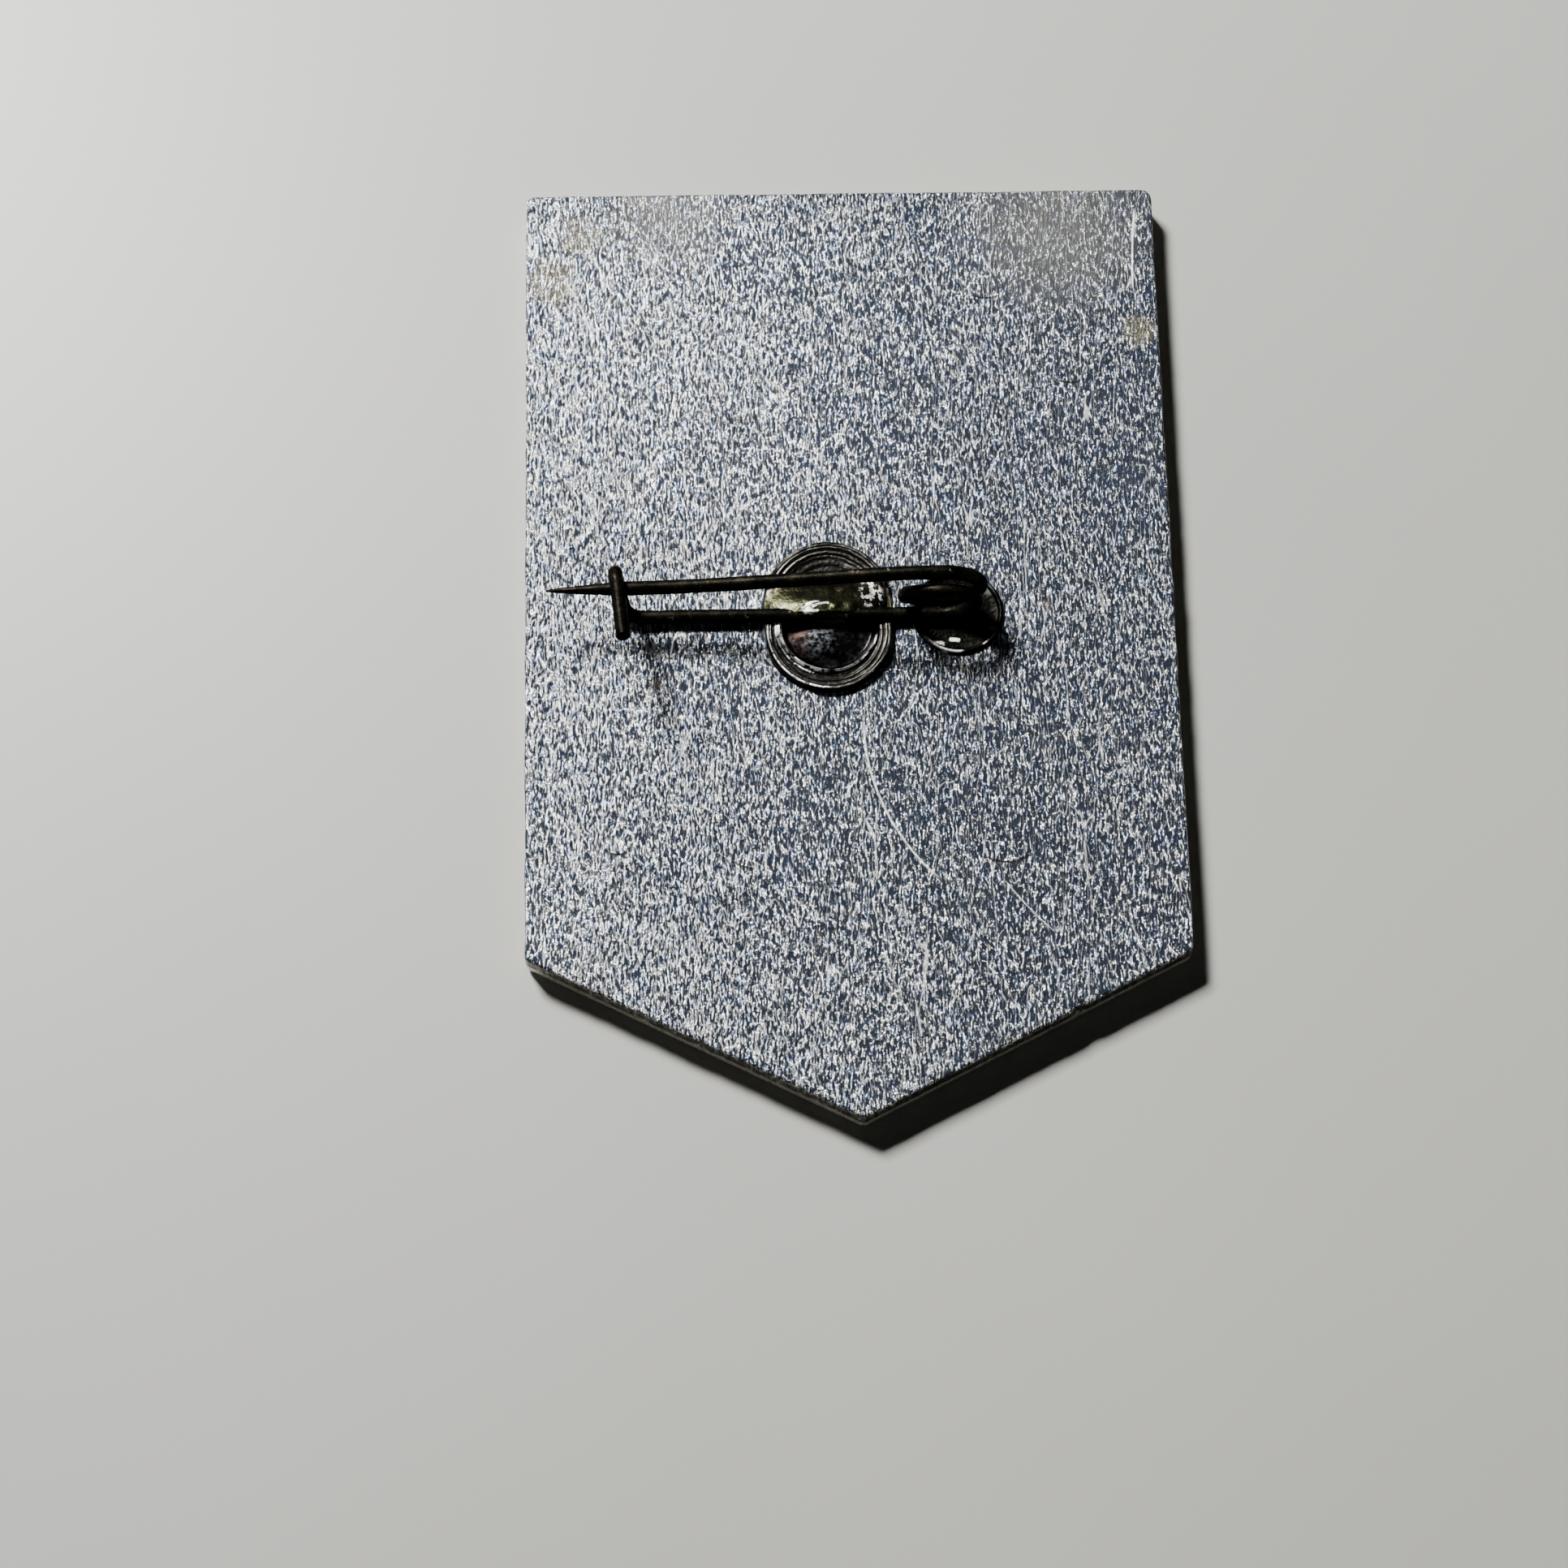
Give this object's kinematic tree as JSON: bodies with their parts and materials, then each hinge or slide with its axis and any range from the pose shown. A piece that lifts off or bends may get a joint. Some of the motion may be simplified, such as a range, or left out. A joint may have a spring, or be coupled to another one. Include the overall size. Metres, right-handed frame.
{
  "type": "enamel pin",
  "caption": "Flat shield-shaped metal badge, enamel cells on the front, one-piece wire brooch pin with spring coil, needle and catch hook clinched to the back",
  "frame": {"origin": "under the middle of the outline, in the plane of the front's raised metal lines", "axes": "+Z out of the badge's back, +Y from the point to the straight top edge, +X to the coil side of the pin wire"},
  "size_m": [0.032, 0.0489, 0.0065],
  "materials": {
    "plate_aluminium": "satin, worn and scratched",
    "wire_steel": "dark oxidised drawn wire",
    "enamel_crimson": "glossy opaque enamel",
    "enamel_gold": "glossy opaque enamel",
    "enamel_sky_blue": "glossy opaque enamel",
    "enamel_white": "glossy opaque enamel",
    "enamel_lilac": "glossy opaque enamel",
    "enamel_slate": "glossy opaque enamel",
    "enamel_green": "glossy opaque enamel",
    "enamel_deep_blue": "glossy opaque enamel"
  },
  "bodies": {
    "badge": {"badge_body": "plate_aluminium", "enamel_header_left": "enamel_crimson", "enamel_header_right": "enamel_crimson", "enamel_header_lozenge": "enamel_gold", "enamel_sky": "enamel_sky_blue", "enamel_sun": "enamel_gold", "enamel_snow_left": "enamel_white", "enamel_snow_right": "enamel_white", "enamel_slope_left_lit": "enamel_lilac", "enamel_slope_right_lit": "enamel_lilac", "enamel_slope_left_shade": "enamel_slate", "enamel_slope_right_shade": "enamel_slate", "enamel_meadow": "enamel_green", "enamel_river_upper": "enamel_deep_blue", "enamel_river_foam": "enamel_white", "enamel_river_lower": "enamel_deep_blue", "pin_base_wire": "wire_steel", "pin_catch_hook": "wire_steel", "pin_spring_coil": "wire_steel"},
    "needle": {"pin_needle": "wire_steel"}
  },
  "joints": [
    {"name": "needle_open", "type": "hinge", "parent": "badge", "child": "needle", "pos_m": [0.00508, 0.00153, 0.00596], "axis": [-0.9272, -0.0249, 0.3738], "range_deg": [0, 180], "stiffness_Nm_per_rad": 0.018}
  ]
}
